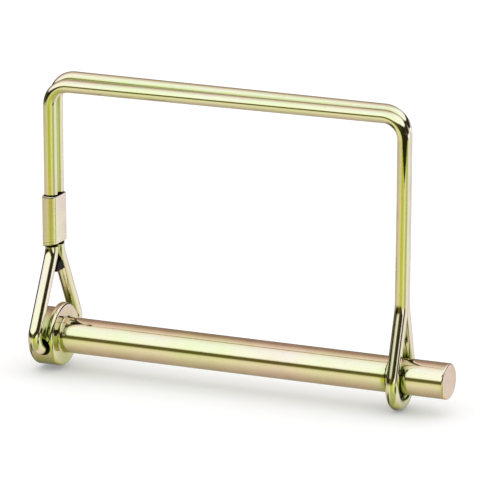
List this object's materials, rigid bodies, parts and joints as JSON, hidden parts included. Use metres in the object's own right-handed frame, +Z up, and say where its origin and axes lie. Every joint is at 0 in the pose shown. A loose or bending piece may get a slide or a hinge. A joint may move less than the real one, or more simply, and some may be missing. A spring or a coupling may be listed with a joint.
{
  "type": "wire lock hitch pin",
  "caption": "Headed hitch pin with a doubled spring-wire arch that swings on the head and snaps its loop round the free end, so the pin cannot work out of a tongue or bracket.",
  "frame": {"origin": "on the pin's axis, in the plane of the head's shoulder face", "axes": "+X along the pin to its free end, +Z up from the pin to the closed arch, +Y across, from the front run of wire to the rear run"},
  "size_m": [0.0989, 0.0236, 0.0679],
  "materials": {
    "zinc_pin": "yellow-iridescent zinc plate, bright",
    "zinc_wire": "yellow-iridescent zinc plate on drawn spring wire, bright",
    "zinc_sheet": "yellow-iridescent zinc plate on sheet, satin",
    "dark_steel": "dark, lightly plated, in shadow"
  },
  "bodies": {
    "pin": {"pin": "zinc_pin"},
    "bail": {"wire_bail": "zinc_wire", "ferrule": "zinc_sheet", "spreader": "dark_steel"},
    "latch_leg": {"latch_loop": "zinc_wire"}
  },
  "joints": [
    {"name": "bail_swing", "type": "hinge", "parent": "pin", "child": "bail", "pos_m": [-0.0027, 0, -0.0015], "axis": [0, -1, 0], "range_deg": [0, 240]},
    {"name": "latch_flex", "type": "hinge", "parent": "bail", "child": "latch_leg", "pos_m": [0.085, 0, 0.0524], "axis": [0, -1, 0], "range_deg": [0, 15]}
  ]
}
